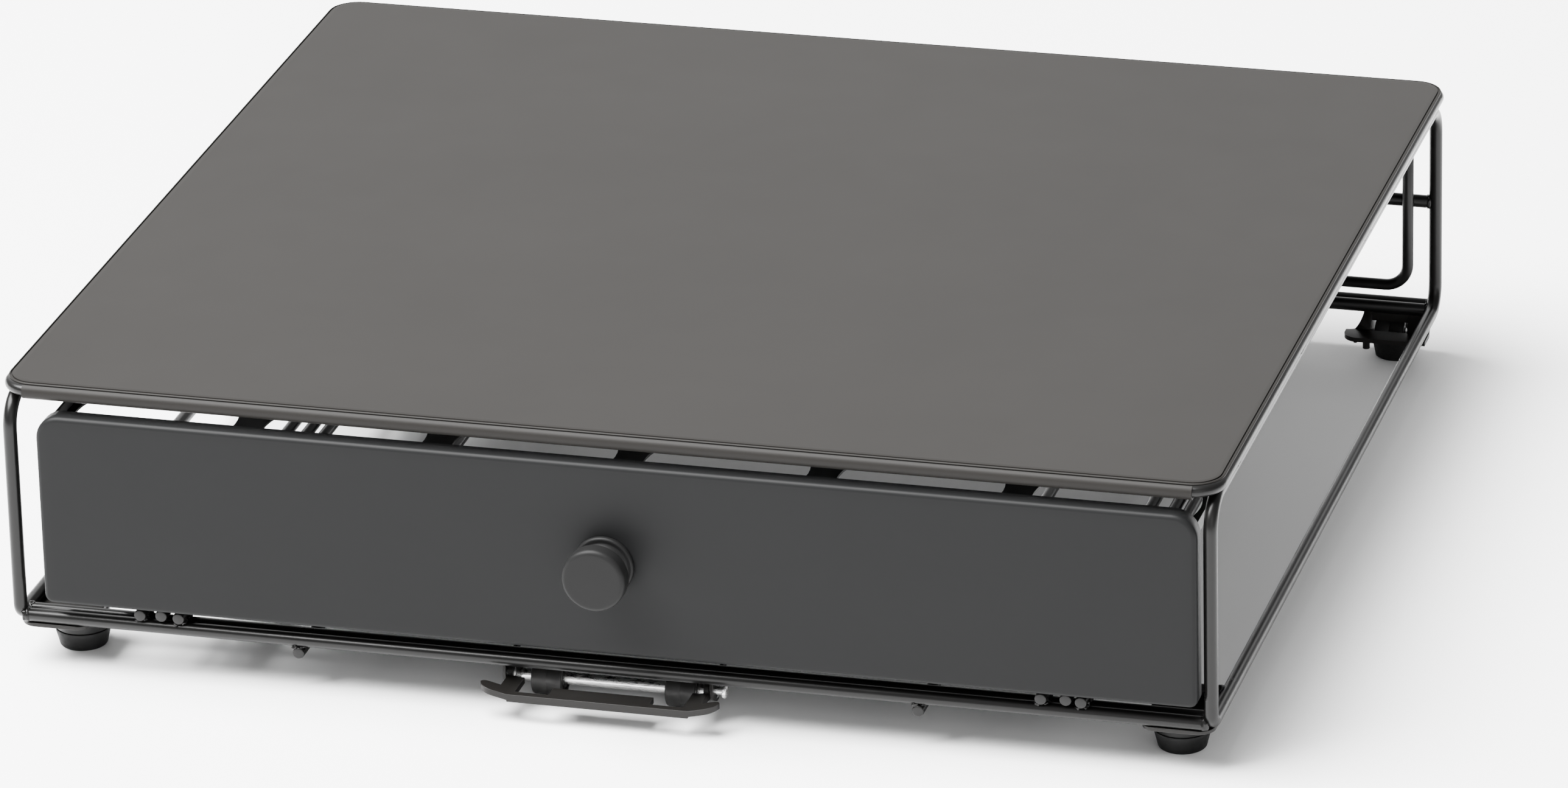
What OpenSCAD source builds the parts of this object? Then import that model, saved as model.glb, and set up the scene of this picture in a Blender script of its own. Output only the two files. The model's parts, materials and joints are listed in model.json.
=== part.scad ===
// Coffee pod drawer: a wire frame with a sheet metal top, a sliding drawer with a perforated
// tray, rubber feet, and a front lever whose rollers take the weight when it is lifted.
// X runs across the drawer, -Y is the front and Z is up, with the feet on Z = 0.

/* [Frame] */
// Distance between the centre lines of the two side loops
frame_w = 348; // [330:1:365]
// Distance between the centre lines of the front and rear posts
frame_d = 309; // [300:1:315]
// Diameter of the frame wire
wire_d = 4; // [3.5:0.1:4.5]
// Diameter of the slide and tie wires
thin_d = 3.5; // [3:0.1:4]
// Height of the bottom wires' centre line above the floor
base_z = 15.4; // [15:0.1:16]
// Height of the rim wire's centre line above the floor
rim_z = 85; // [84:0.5:90]

/* [Top] */
// Diameter of the rim wire
rim_d = 3.4; // [3:0.1:4]
// Distance between the rim wire's centre lines, side to side
rim_w = 350.8; // [350:0.2:352]
// Distance between the rim wire's centre lines, front to back
rim_depth = 312.4; // [312:0.2:314]
// Thickness of the top sheet
sheet_t = 0.5; // [0.4:0.1:0.8]

/* [Drawer] */
// Width of the front panel
panel_w = 336; // [330:0.5:337]
// Height of the front panel
panel_h = 57.8; // [52:0.2:58.5]
// Depth of the front panel's folded edge
panel_depth = 5.8; // [4:0.1:6]
// Number of pod holes across
columns = 6; // [2:1:6]
// Number of pod holes from front to back
rows = 6; // [2:1:6]
// Distance between pod holes across
pitch_x = 56.2; // [52:0.1:56.4]
// Distance between pod holes from front to back
pitch_y = 51; // [50.5:0.1:51.4]
// Diameter of a pod hole
pod_hole_d = 47.5; // [40:0.5:48]
// How far the drawer sits to the right of the frame's middle
drawer_shift = 1; // [0:0.1:1.5]

/* [Lever and rollers] */
// Diameter of a front roller
front_roller_d = 10.6; // [9:0.1:10.8]
// Width of a front roller
front_roller_w = 9; // [7:0.5:9]
// Diameter of a rear roller
rear_roller_d = 10.4; // [9:0.1:10.6]
// Width of the lever at its flared front corners
lever_w = 70; // [66:1:74]

/* [Hidden] */
$fn = 64;
wire_r = wire_d / 2;
thin_r = thin_d / 2;
rim_r = rim_d / 2;
sheet_gap = 0.02;

// The origin is at the middle of the whole object's outline on the floor.
knob_reach = 12.5;
panel_y = -4.5;
front_y = -148.55;
rear_y = front_y + frame_d;
rail_top = base_z + wire_r;
rail_under = base_z - wire_r;

// The side loops' top wire touches the rim wire from below.
rim_offset_x = (rim_w - frame_w) / 2;
side_top_z = rim_z - sqrt(pow(wire_r + rim_r, 2) - pow(rim_offset_x, 2));
side_top_bend = 9;
side_front_bend = 3.5;
side_rear_bend = 8;
rim_bend = 8;
rim_y = front_y;

// Cross wires: one behind each end rail, and one that carries the lever and the front feet.
second_wire_gap = wire_d;
third_wire_y = front_y + 21;
upper_bar_z = 49.5;
stop_overlap = 2.2;

// Slide wires: a pair each side, with the drawer's own runner between them.
guide_inner_x = 125.9;
guide_outer_x = 137.4;
guide_z = rail_top + thin_r;
runner_x = 132.05;
running_gap = 0.35;
runner_z = guide_z + running_gap;
tie_x = 90.6;

// Front panel and knob
panel_t = 0.8;
panel_x = drawer_shift + 2;
panel_z = 21.5;
panel_top_r = 7;
panel_bottom_r = 2.5;
knob_x = 1.9;
knob_z = 49.4;
knob_r = 9.3;
knob_base_r = 8.8;
knob_neck_r = 5.6;
knob_screw_r = 2;
knob_screw_head_r = 3.8;
knob_screw_depth = 8;

// Pod tray
tray_z = 68;
tray_t = 0.8;
tray_half_w = 167.4;
tray_lip = 3.2;
tray_apron = 12;
first_row_y = front_y + 26;
tray_back_y = front_y + 307.4;
loop_z = runner_z + thin_d;
loop_bend = 7;
rear_loop_x = 165.3;
rear_loop_y = front_y + 304.6;
front_loop_x = 150;
front_loop_y = front_y + 3.4;

// Feet
foot_h = 5.6;
foot_top_r = 8.1;
foot_bottom_r = 7;
foot_edge_r = 0.9;
foot_x = 161.8;
front_foot_y = front_y + 17.2;
rear_foot_y = front_y + 305.8;
disc_z = 5.9;
disc_t = 1.5;
disc_r = 7.9;
boss_r = 5;
plate_t = 1.2;
screw_r = 1.6;
screw_head_r = 3.2;
screw_head_h = 1.8;

// Rear roller brackets: a plate bent up to the rear rails, with a window for the roller
bracket_z = 7.2;
bracket_t = 1.4;
bracket_in_x = 147.8;
bracket_out_x = 173.4;
bracket_front_y = front_y + 295;
bracket_bend_y = front_y + 302.2;
bracket_top_y = front_y + 305;
bracket_back_y = front_y + 311;
bracket_neck_x = 153;
window_in_x = 155.2;
window_out_x = 166.6;
window_y = front_y + 302;
window_back_y = front_y + 305;
cheek_t = 1.2;
axle_r = 1.25;
axle_clearance = 0.05;
rear_axle_y = front_y + 308;
rear_axle_z = rear_roller_d / 2 + 0.15;
rear_axle_boss = 3;
rear_roller_x = 160.6;
rear_roller_w = 9;
rear_foot_x = 162.8;
rear_foot_back_y = front_y + 302;

// Front lever
lever_x = -0.5;
lever_z = 6.8;
lever_t = 1.8;
lever_bend_x = 26.5;
lever_rise = 2.2;
lever_front_y = front_y - 9;
lever_flare_y = front_y - 4.2;
lever_web_y = front_y - 2;
lever_strip_y = front_y + 3.2;
lever_neck_x = 29.4;
lever_corner_r = 4.2;
lever_window_y = front_y - 6.6;
lever_web_x = 14.7;
lever_strip_x = 24.6;
pivot_y = front_y + 5.2;
pivot_z = 9.2;
rivet_r = 1.25;
rivet_clearance = 0.05;
rivet_head_r = 2.2;
rivet_head_t = 1.4;
ear_x = 29.8;
ear_t = 1;
ear_r = 3;
front_roller_x = 19.65;
front_axle_r = 1.9;
front_axle_y = front_y + 12;
front_axle_z = front_roller_d / 2 + 0.2;
arm_t = 1.5;
arm_x = lever_neck_x - arm_t;
arm_r = 2.7;

// Colours
black_wire = [0.09, 0.09, 0.09];
top_black = [0.24, 0.23, 0.22];
panel_black = [0.2, 0.21, 0.21];
rubber_black = [0.06, 0.06, 0.06];
roller_black = [0.11, 0.11, 0.11];
dark_metal = [0.28, 0.28, 0.28];
bright_metal = [0.75, 0.75, 0.76];

// A straight wire along X, from x0 to x1
module wire_x(x0, x1, y, z, d) {
    translate([x0, y, z]) rotate([0, 90, 0]) cylinder(d = d, h = x1 - x0);
}

// A straight wire along Y, from y0 to y1
module wire_y(x, y0, y1, z, d) {
    translate([x, y1, z]) rotate([90, 0, 0]) cylinder(d = d, h = y1 - y0);
}

// A straight wire along Z, from z0 to z1
module wire_z(x, y, z0, z1, d) {
    translate([x, y, z0]) cylinder(d = d, h = z1 - z0);
}

// A quarter bend in the XY plane about the origin, from angle a to a + 90
module bend(r, d, a) {
    rotate([0, 0, a]) rotate_extrude(angle = 90) translate([r, 0]) circle(d = d);
}

// A flat shape with round corners, each corner with its own radius:
// radii are front left, front right, back right and back left.
module round_rectangle(x0, x1, y0, y1, radii) {
    corners = [[x0, y0, 1, 1], [x1, y0, -1, 1], [x1, y1, -1, -1], [x0, y1, 1, -1]];
    difference() {
        translate([x0, y0]) square([x1 - x0, y1 - y0]);
        for (i = [0:3]) {
            c = corners[i];
            r = radii[i];
            translate([c[0], c[1]]) scale([c[2], c[3]]) difference() {
                translate([-1, -1]) square(r + 1);
                translate([r, r]) circle(r);
            }
        }
    }
}

module side_loop(side) {
    x = side * frame_w / 2;
    color(black_wire) union() {
        wire_y(x, front_y + side_front_bend, rear_y - side_rear_bend, base_z, wire_d);
        wire_y(x, front_y + side_top_bend, rear_y - side_top_bend, side_top_z, wire_d);
        wire_z(x, front_y, base_z + side_front_bend, side_top_z - side_top_bend, wire_d);
        wire_z(x, rear_y, base_z + side_rear_bend, side_top_z - side_top_bend, wire_d);
        translate([x, front_y + side_front_bend, base_z + side_front_bend])
            rotate([90, 0, 90]) bend(side_front_bend, wire_d, 180);
        translate([x, rear_y - side_rear_bend, base_z + side_rear_bend])
            rotate([90, 0, 90]) bend(side_rear_bend, wire_d, 270);
        translate([x, front_y + side_top_bend, side_top_z - side_top_bend])
            rotate([90, 0, 90]) bend(side_top_bend, wire_d, 90);
        translate([x, rear_y - side_top_bend, side_top_z - side_top_bend])
            rotate([90, 0, 90]) bend(side_top_bend, wire_d, 0);
    }
}

// A cross wire between the two side loops
module cross_wire(y, z) {
    reach = frame_w / 2 - wire_r;
    color(black_wire) wire_x(-reach, reach, y, z, wire_d);
}

module tie_wire(side) {
    color(black_wire)
        wire_y(side * tie_x, front_y - wire_r + 0.5, rear_y + wire_r, rail_under - thin_r, thin_d);
}

module guide(x) {
    color(black_wire) wire_y(x, front_y - stop_overlap, rear_y + wire_r, guide_z, thin_d);
}

module rim_wire() {
    half = rim_w / 2;
    back_y = rim_y + rim_depth;
    color(black_wire) union() {
        for (y = [rim_y, back_y]) wire_x(-half + rim_bend, half - rim_bend, y, rim_z, rim_d);
        for (x = [-half, half]) wire_y(x, rim_y + rim_bend, back_y - rim_bend, rim_z, rim_d);
        translate([-half + rim_bend, rim_y + rim_bend, rim_z]) bend(rim_bend, rim_d, 180);
        translate([half - rim_bend, rim_y + rim_bend, rim_z]) bend(rim_bend, rim_d, 270);
        translate([half - rim_bend, back_y - rim_bend, rim_z]) bend(rim_bend, rim_d, 0);
        translate([-half + rim_bend, back_y - rim_bend, rim_z]) bend(rim_bend, rim_d, 90);
    }
}

// The sheet lies on the rim wire, and its front edge is rolled down round the wire.
module top_sheet() {
    overhang = 0.9;
    half = rim_w / 2 + overhang;
    back_y = rim_y + rim_depth + overhang;
    roll_half = rim_w / 2 - rim_bend + 1.8;
    inner_r = rim_r + sheet_gap;
    outer_r = inner_r + sheet_t;
    corner = rim_bend + overhang;
    sheet_z = rim_z + inner_r;
    color(top_black) union() {
        translate([0, 0, sheet_z]) linear_extrude(sheet_t)
            round_rectangle(-half, half, rim_y - overhang, back_y, [corner, corner, corner, corner]);
        translate([-roll_half, rim_y, rim_z]) rotate([90, 0, 90]) linear_extrude(2 * roll_half)
            difference() {
                circle(outer_r);
                circle(inner_r);
                square(outer_r + 1);
                translate([0.4, -outer_r - 1]) square(outer_r + 1);
            }
    }
}

// A rubber foot's outline turned about its own middle, wider at the top
module foot_body(h) {
    rotate_extrude() union() {
        translate([0, foot_edge_r]) polygon([
            [0, 0], [foot_bottom_r, 0], [foot_top_r, h - foot_edge_r], [0, h - foot_edge_r]
        ]);
        square([foot_bottom_r - foot_edge_r, h]);
        intersection() {
            translate([foot_bottom_r - foot_edge_r, foot_edge_r]) circle(foot_edge_r);
            square([foot_bottom_r, foot_edge_r]);
        }
    }
}

module front_foot(x) {
    color(rubber_black) translate([x, front_foot_y, 0]) difference() {
        foot_body(foot_h);
        translate([0, 0, -1]) cylinder(r = screw_head_r + 0.6, h = 2.2 + screw_head_h);
        cylinder(r = screw_r, h = foot_h + 1);
    }
}

// A rear foot is only the front of the round: the roller sits right behind it.
module rear_foot(side) {
    color(rubber_black) translate([side * rear_foot_x, rear_foot_y, 0]) difference() {
        foot_body(bracket_z);
        translate([-foot_top_r - 1, rear_foot_back_y - rear_foot_y, -1])
            cube([2 * foot_top_r + 2, 2 * foot_top_r, bracket_z + 2]);
    }
}

// A pressed cup: its flange lies on the rubber, and its boss reaches up to the plate.
module foot_cup(x) {
    top_z = rail_under - plate_t;
    color(dark_metal) translate([x, front_foot_y, foot_h + sheet_gap]) difference() {
        rotate_extrude() polygon([
            [0, 0], [disc_r - 0.5, 0], [disc_r, disc_z - foot_h + 0.3],
            [disc_r, disc_z - foot_h + disc_t - 0.5], [disc_r - 0.5, disc_z - foot_h + disc_t],
            [boss_r, top_z - foot_h - sheet_gap], [0, top_z - foot_h - sheet_gap]
        ]);
        translate([0, 0, -1]) cylinder(r = screw_r, h = top_z);
    }
}

// The plate under the front cross wires that carries a front foot
module foot_plate(side) {
    x0 = foot_x - disc_r;
    x1 = frame_w / 2 + 0.5;
    color(black_wire) translate([0, 0, rail_under - plate_t]) difference() {
        linear_extrude(plate_t) scale([side, 1])
            round_rectangle(x0, x1, front_y - 1.4, third_wire_y + 3.2, [4, 5, 3, 3]);
        translate([side * foot_x, front_foot_y, -1]) cylinder(r = screw_r, h = plate_t + 2);
    }
}

// A screw up through a front foot, with its head in the rubber
module foot_screw(x) {
    head_z = 1.2;
    color(bright_metal) translate([x, front_foot_y, head_z]) union() {
        cylinder(r = screw_head_r, h = screw_head_h);
        cylinder(r = screw_r, h = rail_under - head_z);
    }
}

// A cheek of the rear bracket: it hangs beside the roller and holds the axle.
module rear_cheek(x) {
    top_z = rail_under - bracket_t / 2;
    translate([x, 0, 0]) rotate([90, 0, 90]) linear_extrude(cheek_t) difference() {
        union() {
            polygon([
                [bracket_bend_y, bracket_z], [bracket_bend_y, bracket_z + bracket_t],
                [bracket_top_y + 0.4, top_z], [bracket_back_y - 0.6, top_z],
                [rear_axle_y + rear_axle_boss, rear_axle_z],
                [rear_axle_y - rear_axle_boss, rear_axle_z]
            ]);
            translate([rear_axle_y, rear_axle_z]) circle(rear_axle_boss);
        }
        translate([rear_axle_y, rear_axle_z]) circle(axle_r);
    }
}

// The bracket's outline from above: round front corners that flare from a narrow neck
module bracket_outline() {
    flare_r = bracket_neck_x - bracket_in_x;
    flare_y = bracket_bend_y - 0.7;
    difference() {
        union() {
            round_rectangle(bracket_in_x, bracket_out_x, bracket_front_y, flare_y, [4.5, 3, 0.8, 0.4]);
            translate([bracket_neck_x, bracket_front_y + 1])
                square([bracket_out_x - bracket_neck_x, bracket_back_y - bracket_front_y - 1]);
            difference() {
                translate([bracket_in_x + 0.5, flare_y - 0.5]) square([flare_r, flare_r]);
                translate([bracket_in_x, flare_y + flare_r]) circle(flare_r);
            }
        }
        translate([window_in_x, window_y])
            square([window_out_x - window_in_x, window_back_y - window_y]);
    }
}

module rear_bracket(side) {
    tab_y = bracket_front_y + 2.2;
    color(black_wire) scale([side, 1, 1]) union() {
        intersection() {
            linear_extrude(rail_under) bracket_outline();
            translate([bracket_in_x - 1, 0, 0]) rotate([90, 0, 90])
                linear_extrude(bracket_out_x - bracket_in_x + 2) polygon([
                    [bracket_front_y, bracket_z], [bracket_bend_y + 0.8, bracket_z],
                    [bracket_top_y + 0.8, rail_under - bracket_t],
                    [bracket_back_y, rail_under - bracket_t], [bracket_back_y, rail_under],
                    [bracket_top_y, rail_under], [bracket_bend_y, bracket_z + bracket_t],
                    [bracket_front_y, bracket_z + bracket_t]
                ]);
        }
        rear_cheek(window_in_x - cheek_t);
        rear_cheek(window_out_x);
        translate([window_in_x - 0.2, tab_y, bracket_z - 2.6]) cylinder(r = 1.1, h = 3);
        translate([window_in_x - 3.6, tab_y, bracket_z - 1]) cylinder(r = 0.6, h = 1.4);
    }
}

// An axle with a small rivet head at each end
module axle(x0, x1, y, z) {
    head_t = 0.6;
    color(dark_metal) union() {
        wire_x(x0 - head_t, x1 + head_t, y, z, 2 * axle_r);
        wire_x(x0 - head_t, x0, y, z, 2 * axle_r + 1.2);
        wire_x(x1, x1 + head_t, y, z, 2 * axle_r + 1.2);
    }
}

module rear_axle(side) {
    x0 = window_in_x - cheek_t;
    x1 = window_out_x + cheek_t;
    scale([side, 1, 1]) axle(x0, x1, rear_axle_y, rear_axle_z);
}

// A roller with a round-edged tread, a dished face each side and a bore for its axle
module roller(x, y, z, d, w, axle) {
    r = d / 2;
    edge = 0.8;
    dish = 0.7;
    half = w / 2;
    color(roller_black) translate([x, y, z]) rotate([0, 90, 0]) difference() {
        rotate_extrude() polygon([
            [0, -half], [2.8, -half], [3.2, -half + dish], [r - 1.8, -half + dish],
            [r - 1.3, -half], [r - edge, -half], [r - edge / 4, -half + edge / 4],
            [r, -half + edge], [r, half - edge], [r - edge / 4, half - edge / 4],
            [r - edge, half], [r - 1.3, half], [r - 1.8, half - dish], [3.2, half - dish],
            [2.8, half], [0, half]
        ]);
        translate([0, 0, -half - 1]) cylinder(r = axle + axle_clearance, h = w + 2);
    }
}

module front_roller(side) {
    roller(lever_x + side * front_roller_x, front_axle_y, front_axle_z, front_roller_d,
        front_roller_w, front_axle_r);
}

module lever_ear(side) {
    x0 = lever_x + (side > 0 ? ear_x : -ear_x - ear_t);
    color(black_wire) translate([x0, 0, 0]) rotate([90, 0, 90]) linear_extrude(ear_t) difference() {
        union() {
            polygon([
                [front_y + 2.2, rail_under], [pivot_y - ear_r, pivot_z],
                [pivot_y + ear_r, pivot_z], [third_wire_y + 1.8, rail_under]
            ]);
            translate([pivot_y, pivot_z]) circle(ear_r);
        }
        translate([pivot_y, pivot_z]) circle(rivet_r);
    }
}

// A rivet through an ear and the lever's arm: plain at the left, with a bright round head
// standing off at the right
module lever_rivet(side) {
    reach = side > 0 ? 2.2 : 0.4;
    x0 = arm_x + 0.1;
    x1 = ear_x + ear_t + reach;
    color(bright_metal) translate([lever_x, 0, 0]) scale([side, 1, 1]) union() {
        wire_x(x0, x1, pivot_y, pivot_z, 2 * rivet_r);
        if (side > 0) translate([x1 - 0.6, pivot_y, pivot_z]) rotate([0, 90, 0]) rotate_extrude()
            polygon([
                [0, 0], [rivet_head_r - 0.3, 0], [rivet_head_r, 0.3], [rivet_head_r, 0.9],
                [rivet_head_r - 0.5, rivet_head_t], [rivet_head_r - 1.3, rivet_head_t + 0.5],
                [0, rivet_head_t + 0.7]
            ]);
    }
}

// An arm of the lever: it swings on the rivet and holds one end of the rollers' axle.
module lever_arm() {
    top = lever_z + lever_t;
    translate([arm_x, 0, 0]) rotate([90, 0, 90]) linear_extrude(arm_t) difference() {
        union() {
            polygon([
                [lever_window_y, lever_z + 1], [lever_window_y, top], [pivot_y - arm_r, top],
                [pivot_y, pivot_z + arm_r], [pivot_y + arm_r, pivot_z],
                [front_axle_y + arm_r, front_axle_z], [front_axle_y - arm_r, front_axle_z],
                [pivot_y - arm_r, lever_z + 0.1]
            ]);
            translate([front_axle_y, front_axle_z]) circle(arm_r);
            translate([pivot_y, pivot_z]) circle(arm_r);
        }
        translate([front_axle_y, front_axle_z]) circle(front_axle_r);
        translate([pivot_y, pivot_z]) circle(rivet_r + rivet_clearance);
    }
}

// The lever's flat outline: a front bar with round ends, a strip beside each arm, and a
// short web in the middle
module lever_outline() {
    half = lever_w / 2;
    round_rectangle(-half, half, lever_front_y, lever_flare_y,
        [lever_corner_r, lever_corner_r, 2, 2]);
    for (side = [-1, 1]) scale([side, 1]) translate([lever_strip_x, lever_flare_y - 1])
        square([lever_neck_x - lever_strip_x, lever_strip_y - lever_flare_y + 1]);
    translate([-lever_web_x, lever_flare_y - 1])
        square([2 * lever_web_x, lever_web_y - lever_flare_y + 1]);
}

// The lever's thickness seen from the front: flat in the middle, its ends bent up
module lever_profile() {
    end_x = lever_w / 2 + 1;
    side = [[-end_x, lever_rise], [-lever_bend_x, 0], [lever_bend_x, 0], [end_x, lever_rise]];
    polygon(concat(
        [for (p = side) [p[0], lever_z + p[1]]],
        [for (i = [3:-1:0]) [side[i][0], lever_z + lever_t + side[i][1]]]
    ));
}

module lever_paddle() {
    lip_t = 0.5;
    lip_depth = 1.4;
    color(black_wire) translate([lever_x, 0, 0]) union() {
        difference() {
            intersection() {
                linear_extrude(lever_z + 10) lever_outline();
                translate([0, lever_strip_y + 1, 0]) rotate([90, 0, 0])
                    linear_extrude(lever_strip_y - lever_front_y + 2) lever_profile();
            }
            for (side = [-1, 1]) scale([side, 1, 1])
                translate([lever_web_x, lever_window_y, lever_z - 1])
                    cube([lever_strip_x - lever_web_x, 40, lever_t + 2]);
        }
        translate([-lever_bend_x, lever_front_y, lever_z - lip_t])
            cube([2 * lever_bend_x, lip_depth, lip_t + 0.1]);
        for (side = [-1, 1]) scale([side, 1, 1]) lever_arm();
    }
}

module front_axle() {
    reach = arm_x + arm_t + 0.2;
    color(bright_metal)
        wire_x(lever_x - reach, lever_x + reach, front_axle_y, front_axle_z, 2 * front_axle_r);
}

// A shallow pan: a flat face with its edge folded back all round
module front_panel() {
    x0 = panel_x - panel_w / 2;
    x1 = panel_x + panel_w / 2;
    z1 = panel_z + panel_h;
    radii = [panel_bottom_r, panel_bottom_r, panel_top_r, panel_top_r];
    inner = [for (r = radii) r - panel_t];
    color(panel_black) translate([0, front_y + panel_y + panel_depth, 0]) rotate([90, 0, 0])
        difference() {
            linear_extrude(panel_depth) round_rectangle(x0, x1, panel_z, z1, radii);
            translate([0, 0, -1]) linear_extrude(panel_depth - panel_t + 1)
                round_rectangle(x0 + panel_t, x1 - panel_t, panel_z + panel_t, z1 - panel_t, inner);
            translate([knob_x, knob_z, 0]) cylinder(r = knob_screw_r, h = panel_depth + 1);
        }
}

// A turned knob: base flange, waist and a flat round head
module knob() {
    edge = 1.6;
    head_t = 5.4;
    color(black_wire) translate([knob_x, front_y + panel_y, knob_z]) rotate([90, 0, 0])
        difference() {
            rotate_extrude($fn = 96) difference() {
                union() {
                    square([knob_base_r - 0.6, 1.8]);
                    square([knob_base_r, 1.2]);
                    square([knob_neck_r, knob_reach - 1]);
                    translate([0, knob_reach - head_t]) square([knob_r, head_t - edge]);
                    square([knob_r - edge, knob_reach]);
                    translate([knob_r - edge, knob_reach - edge]) circle(edge);
                }
                translate([knob_neck_r + 3.3, 4.4]) circle(2.6);
                translate([knob_neck_r + 0.7, 1.8]) square([knob_r, 5.3]);
            }
            translate([0, 0, -1]) cylinder(r = knob_screw_r, h = knob_screw_depth + 1);
        }
}

module knob_screw() {
    head_t = 2.2;
    back = panel_t;
    color(bright_metal) translate([knob_x, front_y + panel_y, knob_z]) rotate([90, 0, 0]) union() {
        translate([0, 0, -back - head_t]) cylinder(r = knob_screw_head_r, h = head_t);
        translate([0, 0, -back - head_t]) cylinder(r = knob_screw_r, h = back + head_t + 7);
    }
}

// The tray: one hole for each pod, a low lip at the sides and back, and an apron that is
// fixed to the inside of the front panel.
module pod_tray() {
    x0 = drawer_shift - tray_half_w;
    x1 = drawer_shift + tray_half_w;
    y0 = front_y + panel_y + panel_t + sheet_gap;
    y1 = front_y + panel_y + panel_depth + 0.4;
    tongue_x0 = panel_x - panel_w / 2 + panel_t + 1;
    tongue_x1 = x1 - 1;
    color(black_wire) union() {
        translate([0, 0, tray_z]) linear_extrude(tray_t) difference() {
            union() {
                translate([x0, y1]) square([x1 - x0, tray_back_y - y1]);
                translate([tongue_x0, y0]) square([tongue_x1 - tongue_x0, y1 - y0 + 1]);
            }
            for (i = [0:columns - 1], j = [0:rows - 1])
                translate([
                    drawer_shift + (i - (columns - 1) / 2) * pitch_x,
                    first_row_y + j * pitch_y
                ]) circle(d = pod_hole_d);
        }
        translate([tongue_x0, y0, tray_z - tray_apron])
            cube([tongue_x1 - tongue_x0, tray_t, tray_apron + tray_t]);
        for (x = [x0, x1 - tray_t]) translate([x, y1, tray_z])
            cube([tray_t, tray_back_y - y1, tray_t + tray_lip]);
        translate([x0, tray_back_y - tray_t, tray_z]) cube([x1 - x0, tray_t, tray_t + tray_lip]);
    }
}

// A U of wire that stands on the runners and holds up one end of the tray
module drawer_loop(half, y) {
    color(black_wire) translate([drawer_shift, 0, 0]) union() {
        wire_x(-half + loop_bend, half - loop_bend, y, loop_z, thin_d);
        for (side = [-1, 1]) wire_z(side * half, y, loop_z + loop_bend, tray_z, thin_d);
        translate([half - loop_bend, y, loop_z + loop_bend])
            rotate([90, 0, 0]) bend(loop_bend, thin_d, 270);
        translate([-half + loop_bend, y, loop_z + loop_bend])
            rotate([90, 0, 0]) bend(loop_bend, thin_d, 180);
    }
}

module runner(side) {
    color(black_wire) wire_y(drawer_shift + side * runner_x, front_y - stop_overlap,
        front_y + 306.4, runner_z, thin_d);
}

side_loop(-1);  // side_loop_left
side_loop(1);  // side_loop_right
cross_wire(front_y, base_z);  // front_rail
cross_wire(front_y + second_wire_gap, base_z);  // front_inner_rail
cross_wire(third_wire_y, base_z);  // lever_rail
cross_wire(rear_y, base_z);  // rear_rail
cross_wire(rear_y - second_wire_gap, base_z);  // rear_inner_rail
cross_wire(rear_y, upper_bar_z);  // rear_upper_bar
tie_wire(-1);  // tie_wire_left
tie_wire(1);  // tie_wire_right
guide(-guide_outer_x);  // guide_left_outer
guide(-guide_inner_x);  // guide_left_inner
guide(guide_inner_x);  // guide_right_inner
guide(guide_outer_x);  // guide_right_outer
rim_wire();
top_sheet();
foot_plate(-1);  // foot_plate_left
foot_plate(1);  // foot_plate_right
foot_cup(-foot_x);  // foot_cup_left
foot_cup(foot_x);  // foot_cup_right
front_foot(-foot_x);  // foot_front_left
front_foot(foot_x);  // foot_front_right
rear_foot(-1);  // foot_rear_left
rear_foot(1);  // foot_rear_right
foot_screw(-foot_x);  // foot_screw_left
foot_screw(foot_x);  // foot_screw_right
rear_bracket(-1);  // rear_bracket_left
rear_bracket(1);  // rear_bracket_right
rear_axle(-1);  // rear_axle_left
rear_axle(1);  // rear_axle_right
roller(-rear_roller_x, rear_axle_y, rear_axle_z, rear_roller_d, rear_roller_w, axle_r);  // rear_roller_left
roller(rear_roller_x, rear_axle_y, rear_axle_z, rear_roller_d, rear_roller_w, axle_r);  // rear_roller_right
lever_ear(-1);  // lever_ear_left
lever_ear(1);  // lever_ear_right
lever_rivet(-1);  // lever_rivet_left
lever_rivet(1);  // lever_rivet_right
lever_paddle();
front_axle();
front_roller(-1);  // front_roller_left
front_roller(1);  // front_roller_right
front_panel();
knob();
knob_screw();
pod_tray();
drawer_loop(front_loop_x, front_loop_y);  // drawer_front_loop
drawer_loop(rear_loop_x, rear_loop_y);  // drawer_rear_loop
runner(-1);  // runner_left
runner(1);  // runner_right
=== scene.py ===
"""Looks for the coffee pod drawer: bent wire, folded sheet, welds, rubber and satin black paint,
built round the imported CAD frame, in the row frame: X to the right, -Y to the front, Z up, feet on
Z = 0. Lengths are in millimetres, except those of the floor, the lights and the camera, which are
in metres."""

import json
import math

import bmesh
import bpy
from mathutils import Matrix, Vector, noise


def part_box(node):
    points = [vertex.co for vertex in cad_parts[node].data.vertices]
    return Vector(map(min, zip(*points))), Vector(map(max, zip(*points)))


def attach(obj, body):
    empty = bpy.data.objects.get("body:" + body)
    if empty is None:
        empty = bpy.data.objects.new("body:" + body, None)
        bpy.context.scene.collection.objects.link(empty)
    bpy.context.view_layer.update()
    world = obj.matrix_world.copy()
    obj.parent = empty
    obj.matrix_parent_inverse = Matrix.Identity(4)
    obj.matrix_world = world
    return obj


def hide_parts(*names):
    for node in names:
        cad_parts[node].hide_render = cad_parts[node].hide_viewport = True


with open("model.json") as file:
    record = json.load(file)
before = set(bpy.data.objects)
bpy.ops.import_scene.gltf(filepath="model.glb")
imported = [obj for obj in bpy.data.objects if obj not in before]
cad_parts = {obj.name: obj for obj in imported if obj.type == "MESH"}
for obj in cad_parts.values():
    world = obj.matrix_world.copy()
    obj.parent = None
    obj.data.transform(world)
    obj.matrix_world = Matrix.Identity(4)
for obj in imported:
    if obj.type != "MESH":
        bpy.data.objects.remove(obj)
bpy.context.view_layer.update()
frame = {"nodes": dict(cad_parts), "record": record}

MM = 0.001


# ---------------------------------------------------------------- sizes from the frame


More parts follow.
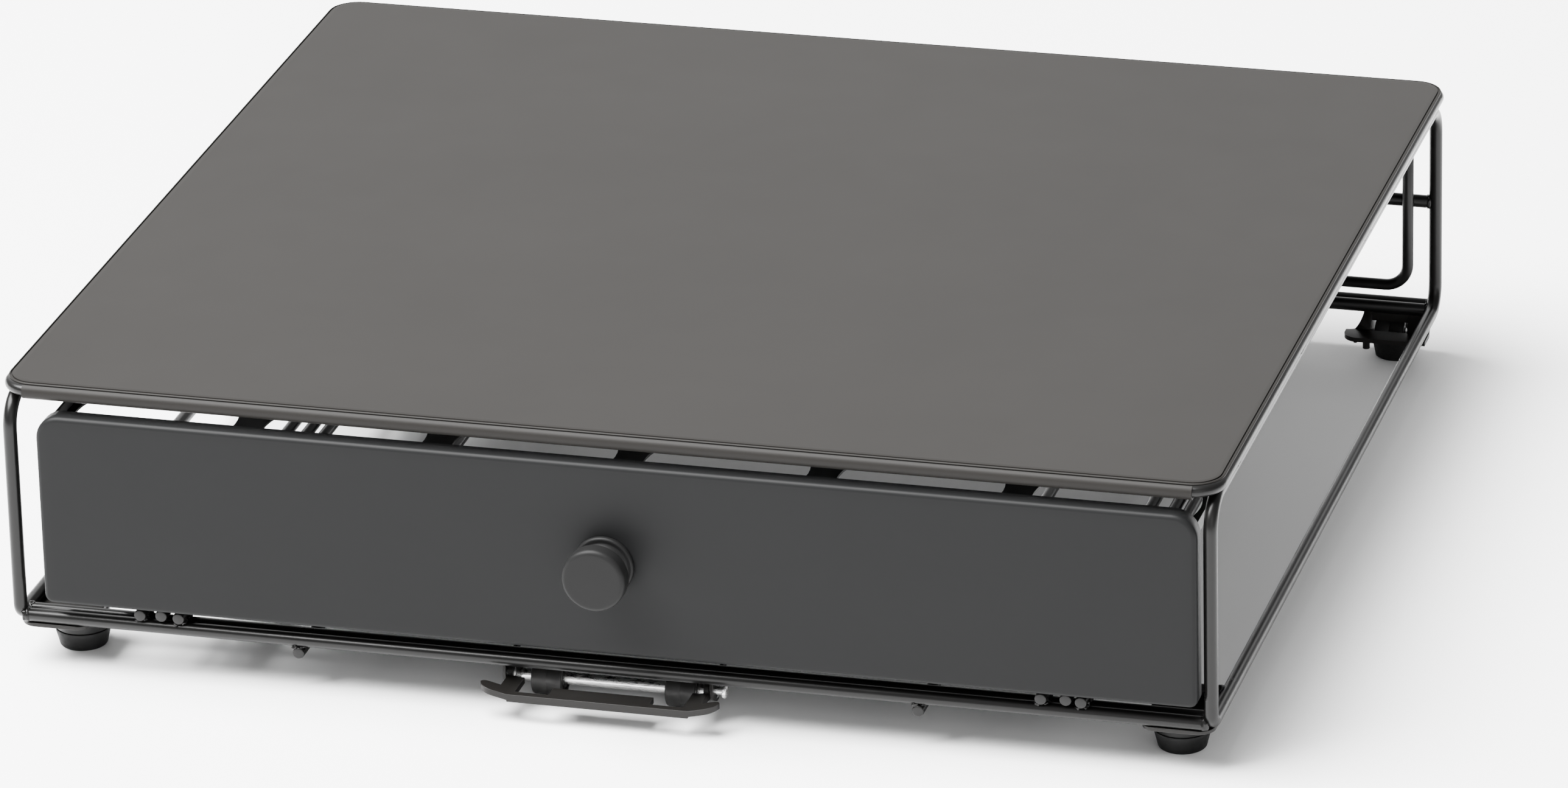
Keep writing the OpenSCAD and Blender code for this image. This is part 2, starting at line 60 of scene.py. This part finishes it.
class Box:
    """A CAD node's box at rest, in millimetres."""

    def __init__(self, node):
        lo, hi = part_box(node)
        self.lo, self.hi = Vector(lo) / MM, Vector(hi) / MM
        self.mid, self.size = (self.lo + self.hi) / 2, self.hi - self.lo


front_rail = Box("front_rail")
rear_rail = Box("rear_rail")
side_right = Box("side_loop_right")
WIRE_R = front_rail.size.z / 2
BASE_Z = front_rail.mid.z
FRONT_Y, REAR_Y = front_rail.mid.y, rear_rail.mid.y
SIDE_X = side_right.mid.x


# ---------------------------------------------------------------- materials


def node_material(name, roughness, metallic=0.0, specular=0.5):
    """A node material with its shader's plain numbers set, and its tree for the rest."""
    mat = bpy.data.materials.new(name)
    mat.use_nodes = True
    shader = mat.node_tree.nodes["Principled BSDF"]
    shader.inputs["Roughness"].default_value = roughness
    shader.inputs["Metallic"].default_value = metallic
    shader.inputs["Specular IOR Level"].default_value = specular
    return mat, mat.node_tree, shader


def noise_node(tree, scale, detail=3.0, stretch=(1, 1, 1)):
    """Noise in object space, scale per metre."""
    coords = tree.nodes.new("ShaderNodeTexCoord")
    mapping = tree.nodes.new("ShaderNodeMapping")
    mapping.inputs["Scale"].default_value = stretch
    texture = tree.nodes.new("ShaderNodeTexNoise")
    texture.inputs["Scale"].default_value = scale
    texture.inputs["Detail"].default_value = detail
    tree.links.new(coords.outputs["Object"], mapping.inputs["Vector"])
    tree.links.new(mapping.outputs["Vector"], texture.inputs["Vector"])
    return texture.outputs["Fac"]


def ramp(tree, fac, low, high, start=0.3, end=0.7):
    """A colour ramp from low to high."""
    node = tree.nodes.new("ShaderNodeValToRGB")
    node.color_ramp.elements[0].position = start
    node.color_ramp.elements[1].position = end
    node.color_ramp.elements[0].color = (*low, 1)
    node.color_ramp.elements[1].color = (*high, 1)
    tree.links.new(fac, node.inputs["Fac"])
    return node.outputs["Color"]


def bump(tree, shader, layers):
    """Bump from several noises, each (fac, depth in mm)."""
    normal = None
    for fac, depth in layers:
        node = tree.nodes.new("ShaderNodeBump")
        node.inputs["Strength"].default_value = 1.0
        node.inputs["Distance"].default_value = depth * MM
        tree.links.new(fac, node.inputs["Height"])
        if normal is not None:
            tree.links.new(normal, node.inputs["Normal"])
        normal = node.outputs["Normal"]
    tree.links.new(normal, shader.inputs["Normal"])


def grey(value, warmth=0.0):
    """A near-grey colour, with a little red added and blue taken away where warm."""
    return (value * (1 + warmth), value, value * (1 - warmth))


def satin_paint(name, value, warmth, roughness, grain, specular):
    """Baked satin paint: fine orange peel, a slow drift in tone, and uneven gloss. Roughness
    drifts between its two values, and grain is the orange peel's depth in mm."""
    mat, tree, shader = node_material(name, roughness[0], specular=specular)
    drift = noise_node(tree, 14, 2)
    tint = ramp(tree, drift, grey(value * 0.97, warmth), grey(value * 1.03, warmth))
    tree.links.new(tint, shader.inputs["Base Color"])
    gloss = noise_node(tree, 60, 4)
    low, high = roughness
    tree.links.new(ramp(tree, gloss, (low,) * 3, (high,) * 3), shader.inputs["Roughness"])
    peel = noise_node(tree, 900, 2)
    fine = noise_node(tree, 3500, 1)
    bump(tree, shader, [(peel, grain), (fine, grain * 0.35)])
    return mat


def rubber_material():
    """Dark moulded rubber with a fine matt grain."""
    mat, tree, shader = node_material("moulded_rubber", 0.6, specular=0.14)
    tree.links.new(
        ramp(tree, noise_node(tree, 120, 4), grey(0.004), grey(0.008)), shader.inputs["Base Color"]
    )
    tree.links.new(
        ramp(tree, noise_node(tree, 700, 3), (0.5,) * 3, (0.72,) * 3), shader.inputs["Roughness"]
    )
    bump(tree, shader, [(noise_node(tree, 2200, 3), 0.02)])
    return mat


def plastic_material():
    """The rollers' hard black plastic."""
    mat, tree, shader = node_material("moulded_plastic", 0.42, specular=0.2)
    tree.links.new(
        ramp(tree, noise_node(tree, 200, 3), grey(0.006, 0.03), grey(0.011, 0.03)),
        shader.inputs["Base Color"],
    )
    tree.links.new(
        ramp(tree, noise_node(tree, 900, 3), (0.36,) * 3, (0.52,) * 3), shader.inputs["Roughness"]
    )
    bump(tree, shader, [(noise_node(tree, 2600, 2), 0.012)])
    return mat


def plated_material():
    """Zinc-plated steel, streaked along X as it was drawn."""
    mat, tree, shader = node_material("zinc_plated_steel", 0.28, metallic=1.0)
    streaks = noise_node(tree, 500, 4, (1, 6, 6))
    tree.links.new(
        ramp(tree, streaks, grey(0.5), grey(0.77, 0.01)), shader.inputs["Base Color"]
    )
    tree.links.new(ramp(tree, streaks, (0.2,) * 3, (0.4,) * 3), shader.inputs["Roughness"])
    bump(tree, shader, [(streaks, 0.006)])
    return mat


# One material for each slot in the record
MATERIALS = {
    "frame_wire": satin_paint(
        "satin_black_wire", 0.003, 0.03, (0.27, 0.33), grain=0.0015, specular=0.17
    ),
    "top_sheet": satin_paint(
        "satin_top_sheet", 0.0095, 0.07, (0.455, 0.47), grain=0.0003, specular=0.07
    ),
    "front_panel": satin_paint(
        "satin_front_panel", 0.0065, -0.02, (0.43, 0.46), grain=0.0003, specular=0.065
    ),
    "tray_sheet": satin_paint(
        "satin_tray_sheet", 0.008, 0.0, (0.38, 0.46), grain=0.001, specular=0.2
    ),
    "bracket_steel": satin_paint(
        "satin_bracket_steel", 0.005, 0.08, (0.34, 0.42), grain=0.002, specular=0.14
    ),
    "foot_cup": satin_paint(
        "foot_cup_steel", 0.006, 0.0, (0.32, 0.42), grain=0.002, specular=0.16
    ),
    "knob": satin_paint("satin_knob", 0.0062, 0.0, (0.42, 0.48), grain=0.0006, specular=0.075),
    "rubber": rubber_material(),
    "roller": plastic_material(),
    "plated_steel": plated_material(),
}


# ---------------------------------------------------------------- mesh tools


def piece(name, mesh, body, slot, *nodes, sharp=35):
    """Puts a finished bmesh into the scene as a piece that rides on a body."""
    bmesh.ops.recalc_face_normals(mesh, faces=mesh.faces)
    for vert in mesh.verts:
        vert.co *= MM
    data = bpy.data.meshes.new(name)
    mesh.to_mesh(data)
    mesh.free()
    data.shade_smooth()
    data.set_sharp_from_angle(angle=math.radians(sharp))
    data.materials.append(MATERIALS[slot])
    obj = bpy.data.objects.new(name, data)
    bpy.context.scene.collection.objects.link(obj)
    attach(obj, body)
    if nodes:
        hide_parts(*nodes)
    return obj


def skin(mesh, rings, cap=(True, True)):
    """Joins closed rings of points, each to the next, and caps the ends with flat faces."""
    loops = [[mesh.verts.new(point) for point in ring] for ring in rings]
    for lower, upper in zip(loops, loops[1:]):
        count = len(lower)
        for i in range(count):
            j = (i + 1) % count
            mesh.faces.new((lower[i], lower[j], upper[j], upper[i]))
    if cap[0]:
        mesh.faces.new(list(reversed(loops[0])))
    if cap[1]:
        mesh.faces.new(loops[-1])


def fillet_path(corners, radii, closed=False, steps=10):
    """A centre line through corners, each rounded to its own bend radius."""
    count = len(corners)
    line = []
    for i, corner in enumerate(corners):
        if not closed and i in (0, count - 1):
            line.append(corner.copy())
            continue
        to_last = (corners[i - 1] - corner).normalized()
        to_next = (corners[(i + 1) % count] - corner).normalized()
        half = to_last.angle(to_next) / 2
        radius = radii[i]
        centre = corner + (to_last + to_next).normalized() * radius / math.sin(half)
        start = corner + to_last * radius / math.tan(half) - centre
        end = corner + to_next * radius / math.tan(half) - centre
        sweep = start.angle(end)
        for k in range(steps + 1):
            t = k / steps
            part = start * math.sin((1 - t) * sweep) + end * math.sin(t * sweep)
            line.append(centre + part / math.sin(sweep))
    return line


def sweep_wire(mesh, line, radius, closed=False, segments=24, chamfer=0.35):
    """A round wire along a centre line, with softly cropped ends."""
    count = len(line)
    tangents = []
    for i in range(count):
        before = line[i - 1] if closed or i else line[i]
        after = line[(i + 1) % count] if closed or i < count - 1 else line[i]
        tangents.append((after - before).normalized())
    side = tangents[0].orthogonal().normalized()
    rings = []
    for i, point in enumerate(line):
        if i:
            side = tangents[i - 1].rotation_difference(tangents[i]) @ side
        across = tangents[i].cross(side).normalized()
        side = across.cross(tangents[i]).normalized()
        rings.append((point, radius, side.copy(), across.copy()))
    if not closed:
        first, last = rings[0], rings[-1]
        ends = [(0.0, 1.0), (0.29, 0.29), (1.0, 0.0)]
        head = [
            (first[0] + tangents[0] * chamfer * a, radius - chamfer * b, first[2], first[3])
            for a, b in ends
        ]
        tail = [
            (last[0] - tangents[-1] * chamfer * a, radius - chamfer * b, last[2], last[3])
            for a, b in reversed(ends)
        ]
        rings = head + rings[1:-1] + tail
    circle = [2 * math.pi * k / segments for k in range(segments)]
    points = [
        [at + (side * math.cos(a) + across * math.sin(a)) * r for a in circle]
        for at, r, side, across in rings
    ]
    if closed:
        skin(mesh, points + [points[0]], cap=(False, False))
        bmesh.ops.remove_doubles(mesh, verts=mesh.verts, dist=1e-4)
    else:
        skin(mesh, points)


def wire(name, corners, radius, body, *nodes, radii=(), closed=False):
    """A bent wire as a piece. radii holds one bend radius per corner."""
    mesh = bmesh.new()
    corners = [Vector(corner) for corner in corners]
    radii = radii or [0] * len(corners)
    sweep_wire(mesh, fillet_path(corners, radii, closed), radius, closed)
    return piece(name, mesh, body, "frame_wire", *nodes, sharp=60)


def straight(node, axis, body="root"):
    """The wire of a straight CAD node, with its own length and thickness."""
    box = Box(node)
    start, end = box.mid.copy(), box.mid.copy()
    start[axis], end[axis] = box.lo[axis], box.hi[axis]
    radius = box.size[(axis + 1) % 3] / 2
    return wire(node + "_wire", [start, end], radius, body, node)


def rounded_outline(half_x, half_z, corner_radii, inset=0.0, steps=8):
    """Points round a rectangle, corner radii in the order right top, left top, left bottom,
    right bottom, moved inwards by inset."""
    points = []
    for k, (sx, sz) in enumerate(((1, 1), (-1, 1), (-1, -1), (1, -1))):
        radius = max(corner_radii[k] - inset, 0.25)
        cx, cz = sx * (half_x - inset - radius), sz * (half_z - inset - radius)
        for i in range(steps + 1):
            angle = math.pi / 2 * (k + i / steps)
            points.append((cx + radius * math.cos(angle), cz + radius * math.sin(angle)))
    return points


def lathe(mesh, profile, centre, axis, segments, cap=(True, True)):
    """Turns a profile of (radius, height along axis) about an axis through centre."""
    turn = Vector((0, 0, 1)).rotation_difference(Vector(axis)).to_matrix()
    rings = []
    for radius, height in profile:
        circle = [2 * math.pi * k / segments for k in range(segments)]
        ring = [Vector((radius * math.cos(a), radius * math.sin(a), height)) for a in circle]
        rings.append([centre + turn @ point for point in ring])
    skin(mesh, rings, cap=cap)


def turned(name, profile, centre, axis, body, slot, *nodes, sharp=40, segments=72):
    """A lathe-turned piece. The profile runs from the axis round the outside to the axis."""
    mesh = bmesh.new()
    lathe(mesh, profile, Vector(centre), axis, segments)
    piece(name, mesh, body, slot, *nodes, sharp=sharp)


def arc(cx, cy, radius, start, end, steps=6):
    """Profile points on an arc, angles in degrees."""
    return [
        (
            cx + radius * math.cos(math.radians(start + (end - start) * k / steps)),
            cy + radius * math.sin(math.radians(start + (end - start) * k / steps)),
        )
        for k in range(steps + 1)
    ]


def weld(mesh, centre, size, seed, rough=0.16):
    """A lump of weld metal: a squashed ball with an uneven skin."""
    made = bmesh.ops.create_icosphere(mesh, subdivisions=3, radius=1)
    shift = Vector((seed * 3.7, seed * 1.3, seed * 5.1))
    for vert in made["verts"]:
        push = 1 + rough * noise.noise(vert.co * 1.6 + shift) * 2
        push += rough * 0.5 * noise.noise(vert.co * 4.5 + shift)
        vert.co = Vector(centre) + Vector([vert.co[i] * size[i] * push for i in range(3)])


def refined(node, body, slot, bevel):
    """A CAD node's solid with its flats made whole and its edges softened by bevel mm."""
    source = frame["nodes"][node]
    mesh = bmesh.new()
    mesh.from_mesh(source.data)
    for vert in mesh.verts:
        vert.co /= MM
    bmesh.ops.remove_doubles(mesh, verts=mesh.verts, dist=1e-3)
    bmesh.ops.dissolve_limit(
        mesh, angle_limit=math.radians(1.5), verts=mesh.verts, edges=mesh.edges
    )
    obj = piece(node + "_part", mesh, body, slot, node, sharp=40)
    edge = obj.modifiers.new("soft_edges", "BEVEL")
    edge.width = bevel * MM
    edge.segments = 2
    edge.limit_method = "ANGLE"
    edge.angle_limit = math.radians(42)
    edge.harden_normals = False
    return obj


# ---------------------------------------------------------------- wire frame

RAILS = (
    "front_rail", "front_inner_rail", "lever_rail", "rear_rail", "rear_inner_rail",
    "rear_upper_bar",
)
LONG_WIRES = (
    "tie_wire_left", "tie_wire_right", "guide_left_outer", "guide_left_inner",
    "guide_right_inner", "guide_right_outer",
)

for side, name in ((-1, "left"), (1, "right")):
    box = Box("side_loop_" + name)
    x = box.mid.x
    low, high = box.lo.z + WIRE_R, box.hi.z - WIRE_R
    wire(
        "side_loop_%s_wire" % name,
        [(x, FRONT_Y, low), (x, FRONT_Y, high), (x, REAR_Y, high), (x, REAR_Y, low)],
        WIRE_R,
        "root",
        "side_loop_" + name,
        radii=(3.5, 9, 9, 8),
        closed=True,
    )

for node in RAILS:
    straight(node, 0)
for node in LONG_WIRES:
    straight(node, 1)
for node in ("runner_left", "runner_right"):
    straight(node, 1, "drawer")

rim = Box("rim_wire")
RIM_R = rim.size.z / 2
rim_x, rim_z = rim.hi.x - RIM_R, rim.mid.z
rim_front, rim_back = rim.lo.y + RIM_R, rim.hi.y - RIM_R
wire(
    "rim_wire_wire",
    [
        (-rim_x, rim_front, rim_z),
        (rim_x, rim_front, rim_z),
        (rim_x, rim_back, rim_z),
        (-rim_x, rim_back, rim_z),
    ],
    RIM_R,
    "root",
    "rim_wire",
    radii=(8, 8, 8, 8),
    closed=True,
)

for node in ("drawer_front_loop", "drawer_rear_loop"):
    box = Box(node)
    radius = box.size.y / 2
    x0, x1, low = box.lo.x + radius, box.hi.x - radius, box.lo.z + radius
    wire(
        node + "_wire",
        [
            (x0, box.mid.y, box.hi.z),
            (x0, box.mid.y, low),
            (x1, box.mid.y, low),
            (x1, box.mid.y, box.hi.z),
        ],
        radius,
        "drawer",
        node,
        radii=(0, 7, 7, 0),
    )


# ---------------------------------------------------------------- top sheet

top = Box("top_sheet")
SHEET_T = 0.5
SHEET_CORNER = 8.9
# The flat stops behind the curl of the front edge, which leaves a narrow crease.
CREASE = 0.3
half_x = top.size.x / 2
sheet_front = rim_front + CREASE
sheet_back = top.hi.y
mid_y = (sheet_front + sheet_back) / 2
half_y = (sheet_back - sheet_front) / 2


def sheet_ring(inset, z):
    """A ring of the top sheet, inset from its edge."""
    points = rounded_outline(half_x, half_y, (SHEET_CORNER,) * 4, inset)
    return [Vector((px, py + mid_y, z)) for px, py in points]


# From under the edge, round it, through a groove and up to the flat top
mesh = bmesh.new()
top_z = top.hi.z
skin(
    mesh,
    [
        sheet_ring(1.5, top_z - SHEET_T),
        sheet_ring(0.35, top_z - SHEET_T - 0.02),
        sheet_ring(0.05, top_z - SHEET_T - 0.12),
        sheet_ring(0.0, top_z - SHEET_T + 0.05),
        sheet_ring(0.05, top_z - 0.3),
        sheet_ring(0.2, top_z - 0.16),
        sheet_ring(0.5, top_z - 0.1),
        sheet_ring(0.56, top_z - 0.47),
        sheet_ring(0.98, top_z - 0.47),
        sheet_ring(1.06, top_z - 0.06),
        sheet_ring(1.25, top_z),
        sheet_ring(2.5, top_z),
    ],
)
# The rolled front edge: a curl of the same sheet round the rim wire
CURL_END = 7.1
CURL_START, CURL_STOP = 113, 283
curl_half = half_x - CURL_END
curl_out, curl_in = top_z - rim_z, top_z - rim_z - SHEET_T
curl = arc(0, 0, curl_out, CURL_START, CURL_STOP, 22)
curl += arc(0, 0, curl_in, CURL_STOP, CURL_START, 22)
ends = (-curl_half, -curl_half + 0.15, curl_half - 0.15, curl_half)
skin(
    mesh,
    [[Vector((x, rim_front + y, rim_z + z)) for y, z in curl] for x in ends],
)
piece("top_sheet_folded", mesh, "root", "top_sheet", "top_sheet", sharp=38)


# ---------------------------------------------------------------- drawer front

panel = Box("front_panel")
PANEL_T = 0.8
PANEL_RADII = (7, 7, 2.5, 2.5)


def panel_ring(inset, depth):
    """A ring of the front panel; depth is measured back from its face."""
    points = rounded_outline(panel.size.x / 2, panel.size.z / 2, PANEL_RADII, inset)
    return [Vector((panel.mid.x + px, panel.lo.y + depth, panel.mid.z + pz)) for px, pz in points]


def fold(radius, offset, steps=6):
    """(inset, depth) points round the panel's fold, from its side to its face."""
    angles = [math.pi / 2 * k / steps for k in range(steps + 1)]
    return [
        (offset + radius * (1 - math.sin(a)), offset + radius * (1 - math.cos(a))) for a in angles
    ]


FOLD_R = 1.5
FACE_INSET = 4.0
RIM_BREAK = 0.15
mesh = bmesh.new()
depth = panel.size.y
profile = [(FACE_INSET, 0.0)] + fold(FOLD_R, 0.0)
profile += [(0, depth - RIM_BREAK), (RIM_BREAK, depth)]
profile += [(PANEL_T - RIM_BREAK, depth), (PANEL_T, depth - RIM_BREAK)]
profile += fold(FOLD_R - PANEL_T, PANEL_T)[::-1] + [(FACE_INSET, PANEL_T)]
skin(mesh, [panel_ring(inset, back) for inset, back in profile])
piece("front_panel_folded", mesh, "drawer", "front_panel", "front_panel", sharp=50)


# ---------------------------------------------------------------- knob

# From the foot on the panel, over its flared base and waist, to the round head
knob = Box("knob")
knob_r = knob.size.x / 2
reach = knob.size.y
profile = [(0.01, 0.0), (8.1, 0.0), (8.6, 0.15), (8.8, 0.6)]
profile += arc(7.9, 1.1, 0.9, 0, 80, 5)
profile += arc(8.6, 4.6, 3.1, 250, 130, 12)
profile += [(knob_r - 0.9, reach - 5.5)]
profile += arc(knob_r - 1.0, reach - 4.5, 1.0, -75, 0, 5)
profile += arc(knob_r - 1.5, reach - 1.5, 1.5, 0, 90, 8)
profile += [(knob_r - 2.6, reach - 0.03), (knob_r * 0.45, reach), (0.01, reach)]
turned(
    "knob_turned", profile, (knob.mid.x, knob.hi.y, knob.mid.z), (0, -1, 0), "drawer", "knob",
    "knob", sharp=60, segments=96,
)


# ---------------------------------------------------------------- feet, cups, rollers and pins


FOOT_TAPER = 1.1
for name in ("left", "right"):
    # The rubber, with its screw's recess underneath
    box = Box("foot_front_" + name)
    top_r, h = box.size.x / 2, box.size.z
    low_r = top_r - FOOT_TAPER
    profile = [(0.01, 1.4), (3.8, 1.4), (3.9, 0.1), (4.1, 0.0)]
    profile += arc(low_r - 0.9, 0.9, 0.9, -90, -8, 6)
    profile += [(low_r + (top_r - low_r) * k / 4, 0.9 + (h - 1.2) * k / 4) for k in (1, 2, 3)]
    profile += [(top_r, h - 0.3), (top_r - 0.1, h - 0.08), (top_r - 0.35, h), (0.01, h)]
    turned(
        "foot_front_%s_moulded" % name, profile, (box.mid.x, box.mid.y, 0), (0, 0, 1), "root",
        "rubber", "foot_front_" + name,
    )

    # The pressed cup on top of it
    box = Box("foot_cup_" + name)
    r, h = box.size.x / 2, box.size.z
    centre = (box.mid.x, box.mid.y, box.lo.z)
    profile = [(0.01, 0.0)]
    profile += arc(r - 0.35, 0.35, 0.35, -90, 0, 4)
    profile += arc(r - 1.1, h - 1.1, 1.1, 0, 90, 7)
    profile += [(0.01, h)]
    turned(
        "foot_cup_%s_pressed" % name, profile, centre, (0, 0, 1), "root", "foot_cup",
        "foot_cup_" + name,
    )


AXLE_GAP = 0.05


def roller(node, axle_r):
    """A moulded roller: a crowned tread with a parting line, dished faces and a bore."""
    box = Box(node)
    r, half = box.size.z / 2, box.size.x / 2
    bore = axle_r + AXLE_GAP
    lower = [(bore, -half + 0.2), (bore + 0.15, -half), (bore + 0.9, -half)]
    lower += [(bore + 1.05, -half + 0.7), (r - 1.4, -half + 0.7), (r - 1.2, -half)]
    lower += arc(r - 0.6, -half + 0.6, 0.6, -90, 0, 5) + [(r, -0.12), (r - 0.07, 0.0)]
    profile = lower + [(radius, -height) for radius, height in reversed(lower[:-1])]
    mesh = bmesh.new()
    lathe(mesh, profile + [profile[0]], box.mid, (1, 0, 0), 64, cap=(False, False))
    bmesh.ops.remove_doubles(mesh, verts=mesh.verts, dist=1e-4)
    piece(node + "_moulded", mesh, node, "roller", node)


FRONT_AXLE_R = Box("front_axle").size.z / 2
REAR_AXLE_R = 1.25
for name in ("left", "right"):
    roller("front_roller_" + name, FRONT_AXLE_R)
    roller("rear_roller_" + name, REAR_AXLE_R)

# The rollers' polished axle, with broken ends
box = Box("front_axle")
END_BREAK = 0.3
length = box.size.x
profile = [(0.01, 0), (FRONT_AXLE_R - END_BREAK, 0), (FRONT_AXLE_R, END_BREAK)]
profile += [(FRONT_AXLE_R, length - END_BREAK), (FRONT_AXLE_R - END_BREAK, length), (0.01, length)]
turned(
    "front_axle_pin", profile, (box.lo.x, box.mid.y, box.mid.z), (1, 0, 0), "lever",
    "plated_steel", "front_axle",
)

# A rivet with a domed head on the outside of the right ear
box = Box("lever_rivet_right")
shank_r, head_r = 1.25, box.size.z / 2
head_t = 1.4
head_edge = 0.3
length = box.size.x
under_head = length - head_t
profile = [(0.01, 0), (shank_r - 0.2, 0), (shank_r, 0.2), (shank_r, under_head)]
profile += [(head_r - 0.1, under_head), (head_r, under_head + head_edge / 2)]
for k in range(8):
    a = math.pi / 2 * k / 8
    dome = (head_t - head_edge) * math.sin(a)
    profile.append((head_r * math.cos(a), under_head + head_edge + dome))
profile.append((0.01, length))
turned(
    "lever_rivet_right_domed", profile, (box.lo.x, box.mid.y, box.mid.z), (1, 0, 0), "root",
    "plated_steel", "lever_rivet_right",
)


# ---------------------------------------------------------------- parts kept from the CAD

for node, body, slot, bevel in (
    ("foot_plate_left", "root", "bracket_steel", 0.2),
    ("foot_plate_right", "root", "bracket_steel", 0.2),
    ("rear_bracket_left", "root", "bracket_steel", 0.2),
    ("rear_bracket_right", "root", "bracket_steel", 0.2),
    ("lever_ear_left", "root", "bracket_steel", 0.15),
    ("lever_ear_right", "root", "bracket_steel", 0.15),
    ("lever_paddle", "lever", "bracket_steel", 0.25),
    ("pod_tray", "drawer", "tray_sheet", 0.15),
):
    refined(node, body, slot, bevel)

slots = {entry["node"]: entry["material_slot"] for entry in frame["record"]["subparts"]}
for node, obj in frame["nodes"].items():
    obj.data.materials.clear()
    obj.data.materials.append(MATERIALS[slots[node]])


# ---------------------------------------------------------------- welds

STROKES = (FRONT_Y + 23, FRONT_Y + 108, FRONT_Y + 198, FRONT_Y + 293)
mesh = bmesh.new()
seed = 0
for node in RAILS:
    box = Box(node)
    for side in (-1, 1):
        seed += 1
        # A bead where the rail meets the side wire, with smaller lumps round it
        centre = Vector((side * (SIDE_X - WIRE_R + 0.1), box.mid.y, box.mid.z))
        weld(mesh, centre, (1.5, 2.25, 2.15), seed)
        for dy, dz in ((0, 1.3), (0, -1.3), (1.5, 0.5)):
            seed += 1
            near = centre + Vector((-side * 0.2, dy, dz))
            weld(mesh, near, (1.1, 1.2, 0.9), seed, 0.2)
# A bead on each side of every place where a lengthwise wire rests on a rail
for node in LONG_WIRES:
    along = Box(node)
    for rail in RAILS:
        over = Box(rail)
        if over.mid.y < along.lo.y - 1 or over.mid.y > along.hi.y + 1:
            continue
        if abs(over.mid.z - along.mid.z) > 2.2 * WIRE_R:
            continue
        z = (over.mid.z + along.mid.z) / 2
        for dx, dy in ((-1, -0.4), (1, 0.4)):
            seed += 1
            at = (along.mid.x + dx, over.mid.y + dy, z)
            weld(mesh, at, (1.0, 1.5, 0.85), seed, 0.2)
# Short strokes of bead between the rim wire and the side wires under it
for side in (-1, 1):
    for y in STROKES:
        for k in range(5):
            seed += 1
            at = (side * (rim_x + 0.3), y + 2.0 * (k - 2), side_right.hi.z - 0.3)
            weld(mesh, at, (0.8, 1.5, 0.7), seed, 0.22)
piece("frame_welds", mesh, "root", "frame_wire", sharp=70)

mesh = bmesh.new()
for loop in ("drawer_front_loop", "drawer_rear_loop"):
    box = Box(loop)
    for runner in ("runner_left", "runner_right"):
        along = Box(runner)
        z = (box.lo.z + box.size.y / 2 + along.mid.z) / 2
        for dx in (-1, 1):
            seed += 1
            at = (along.mid.x + dx, box.mid.y + dx * 0.3, z)
            weld(mesh, at, (1.0, 1.4, 0.85), seed, 0.2)
piece("drawer_welds", mesh, "drawer", "frame_wire", sharp=70)


# ---------------------------------------------------------------- floor, light and camera


def floor_material():
    """A plain pale floor."""
    mat, tree, shader = node_material("studio_floor", 0.7, specular=0.2)
    tree.links.new(
        ramp(tree, noise_node(tree, 1.5, 2), grey(0.95), grey(0.97)), shader.inputs["Base Color"]
    )
    return mat


bpy.ops.mesh.primitive_plane_add(size=14)
floor = bpy.context.object
floor.name = "studio_floor"
floor.data.materials.append(floor_material())


def area_light(name, at, towards, size, power):
    """A soft rectangular light, facing the point it is aimed towards."""
    light = bpy.data.lights.new(name, "AREA")
    light.shape = "RECTANGLE"
    light.size, light.size_y = size
    light.energy = power
    obj = bpy.data.objects.new(name, light)
    obj.location = at
    obj.rotation_euler = (Vector(towards) - Vector(at)).to_track_quat("-Z", "Y").to_euler()
    bpy.context.scene.collection.objects.link(obj)


area_light("key", (-1.1, -0.6, 2.5), (0, 0, 0), (2.3, 2.3), 800)
area_light("back_wall", (-0.9, 3.4, 1.6), (0, 0, 0), (4.5, 2.2), 60)
area_light("front_fill", (1.5, -2.8, 1.4), (0, 0, 0.05), (2.5, 1.6), 30)

world = bpy.data.worlds.new("studio")
world.use_nodes = True
world.node_tree.nodes["Background"].inputs["Color"].default_value = (1, 1, 1, 1)
world.node_tree.nodes["Background"].inputs["Strength"].default_value = 0.6
bpy.context.scene.world = world

# The camera looks down on the object's front from its right-hand side.
AIM = Vector((0.0160, -0.0121, 0.0436))
DISTANCE = 2.6956
TURN, ELEVATION, ROLL = (math.radians(a) for a in (15.763, 22.988, -1.430))
lens = bpy.data.cameras.new("camera")
lens.sensor_width = 36
lens.lens = 211.8
lens.shift_x = -0.00155
lens.shift_y = 0.0002
lens.clip_end = 50
camera = bpy.data.objects.new("camera", lens)
aim = Matrix.Rotation(TURN, 4, "Z") @ Matrix.Rotation(math.pi / 2 - ELEVATION, 4, "X")
aim = aim @ Matrix.Rotation(ROLL, 4, "Z")
camera.matrix_world = Matrix.Translation(AIM) @ aim @ Matrix.Translation((0, 0, DISTANCE))
bpy.context.scene.collection.objects.link(camera)
bpy.context.scene.camera = camera
